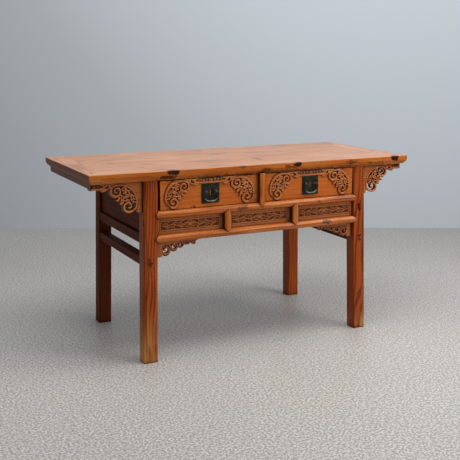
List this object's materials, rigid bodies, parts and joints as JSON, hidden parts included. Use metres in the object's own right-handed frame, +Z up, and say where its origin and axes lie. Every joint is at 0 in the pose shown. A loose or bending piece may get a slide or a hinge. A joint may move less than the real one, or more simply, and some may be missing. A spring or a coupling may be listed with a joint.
{
  "type": "chinese altar table",
  "caption": "Long narrow side table with a mitred overhanging top, splayed square legs, drawers over a panelled waist, pierced scroll brackets and drop handles.",
  "frame": {"origin": "on the floor, under the middle of the top", "axes": "+Z up, +X along the table's length to the right as seen from the front, the front faces -Y"},
  "size_m": [1.6, 0.7, 0.84],
  "materials": {
    "top_wood": "waxed, worn",
    "frame_wood": "old lacquer, waxed",
    "carved_wood": "old lacquer, waxed",
    "panel_wood": "dark, worn lacquer",
    "hidden_wood": "bare, aged",
    "bronze": "dark patina"
  },
  "bodies": {
    "frame": {"top_frame_front": "top_wood", "top_frame_rear": "top_wood", "top_frame_left": "top_wood", "top_frame_right": "top_wood", "top_board_front": "top_wood", "top_board_rear": "top_wood", "top_batten_left": "hidden_wood", "top_batten_middle": "hidden_wood", "top_batten_right": "hidden_wood", "leg_front_left": "frame_wood", "leg_front_right": "frame_wood", "leg_rear_left": "frame_wood", "leg_rear_right": "frame_wood", "front_rail_upper": "frame_wood", "front_rail_lower": "frame_wood", "drawer_divider": "frame_wood", "waist_strut_left": "frame_wood", "waist_strut_right": "frame_wood", "waist_panel_left": "carved_wood", "waist_panel_middle": "carved_wood", "waist_panel_right": "carved_wood", "side_rail_left": "frame_wood", "side_rail_right": "frame_wood", "side_stretcher_left": "frame_wood", "side_stretcher_right": "frame_wood", "side_panel_left": "panel_wood", "side_panel_right": "panel_wood", "rear_panel_upper": "hidden_wood", "rear_panel_lower": "hidden_wood", "rear_rail_upper": "hidden_wood", "rear_rail_lower": "hidden_wood", "store_floor": "hidden_wood", "drawer_runner_left": "hidden_wood", "drawer_runner_right": "hidden_wood", "drawer_runner_middle": "hidden_wood", "side_spandrel_left": "carved_wood", "side_spandrel_right": "carved_wood", "corner_bracket_left": "carved_wood", "corner_bracket_right": "carved_wood", "end_apron_left": "frame_wood", "end_apron_right": "frame_wood"},
    "drawer_left": {"drawer_left_front": "frame_wood", "drawer_left_side_left": "hidden_wood", "drawer_left_side_right": "hidden_wood", "drawer_left_back": "hidden_wood", "drawer_left_bottom": "hidden_wood", "drawer_left_carving": "carved_wood", "drawer_left_lock_plate": "bronze", "drawer_left_bail_posts": "bronze"},
    "bail_left": {"drawer_left_bail": "bronze"},
    "drawer_right": {"drawer_right_front": "frame_wood", "drawer_right_side_left": "hidden_wood", "drawer_right_side_right": "hidden_wood", "drawer_right_back": "hidden_wood", "drawer_right_bottom": "hidden_wood", "drawer_right_carving": "carved_wood", "drawer_right_lock_plate": "bronze", "drawer_right_bail_posts": "bronze"},
    "bail_right": {"drawer_right_bail": "bronze"}
  },
  "joints": [
    {"name": "drawer_left_slide", "type": "slide", "parent": "frame", "child": "drawer_left", "axis": [0, -1, 0], "range_m": [0, 0.38]},
    {"name": "drawer_right_slide", "type": "slide", "parent": "frame", "child": "drawer_right", "axis": [0, -1, 0], "range_m": [0, 0.38]},
    {"name": "bail_left_swing", "type": "hinge", "parent": "drawer_left", "child": "bail_left", "pos_m": [-0.25048, -0.34118, 0.734], "axis": [-1, 0, 0], "range_deg": [0, 150]},
    {"name": "bail_right_swing", "type": "hinge", "parent": "drawer_right", "child": "bail_right", "pos_m": [0.25948, -0.34118, 0.734], "axis": [-1, 0, 0], "range_deg": [0, 150]}
  ]
}
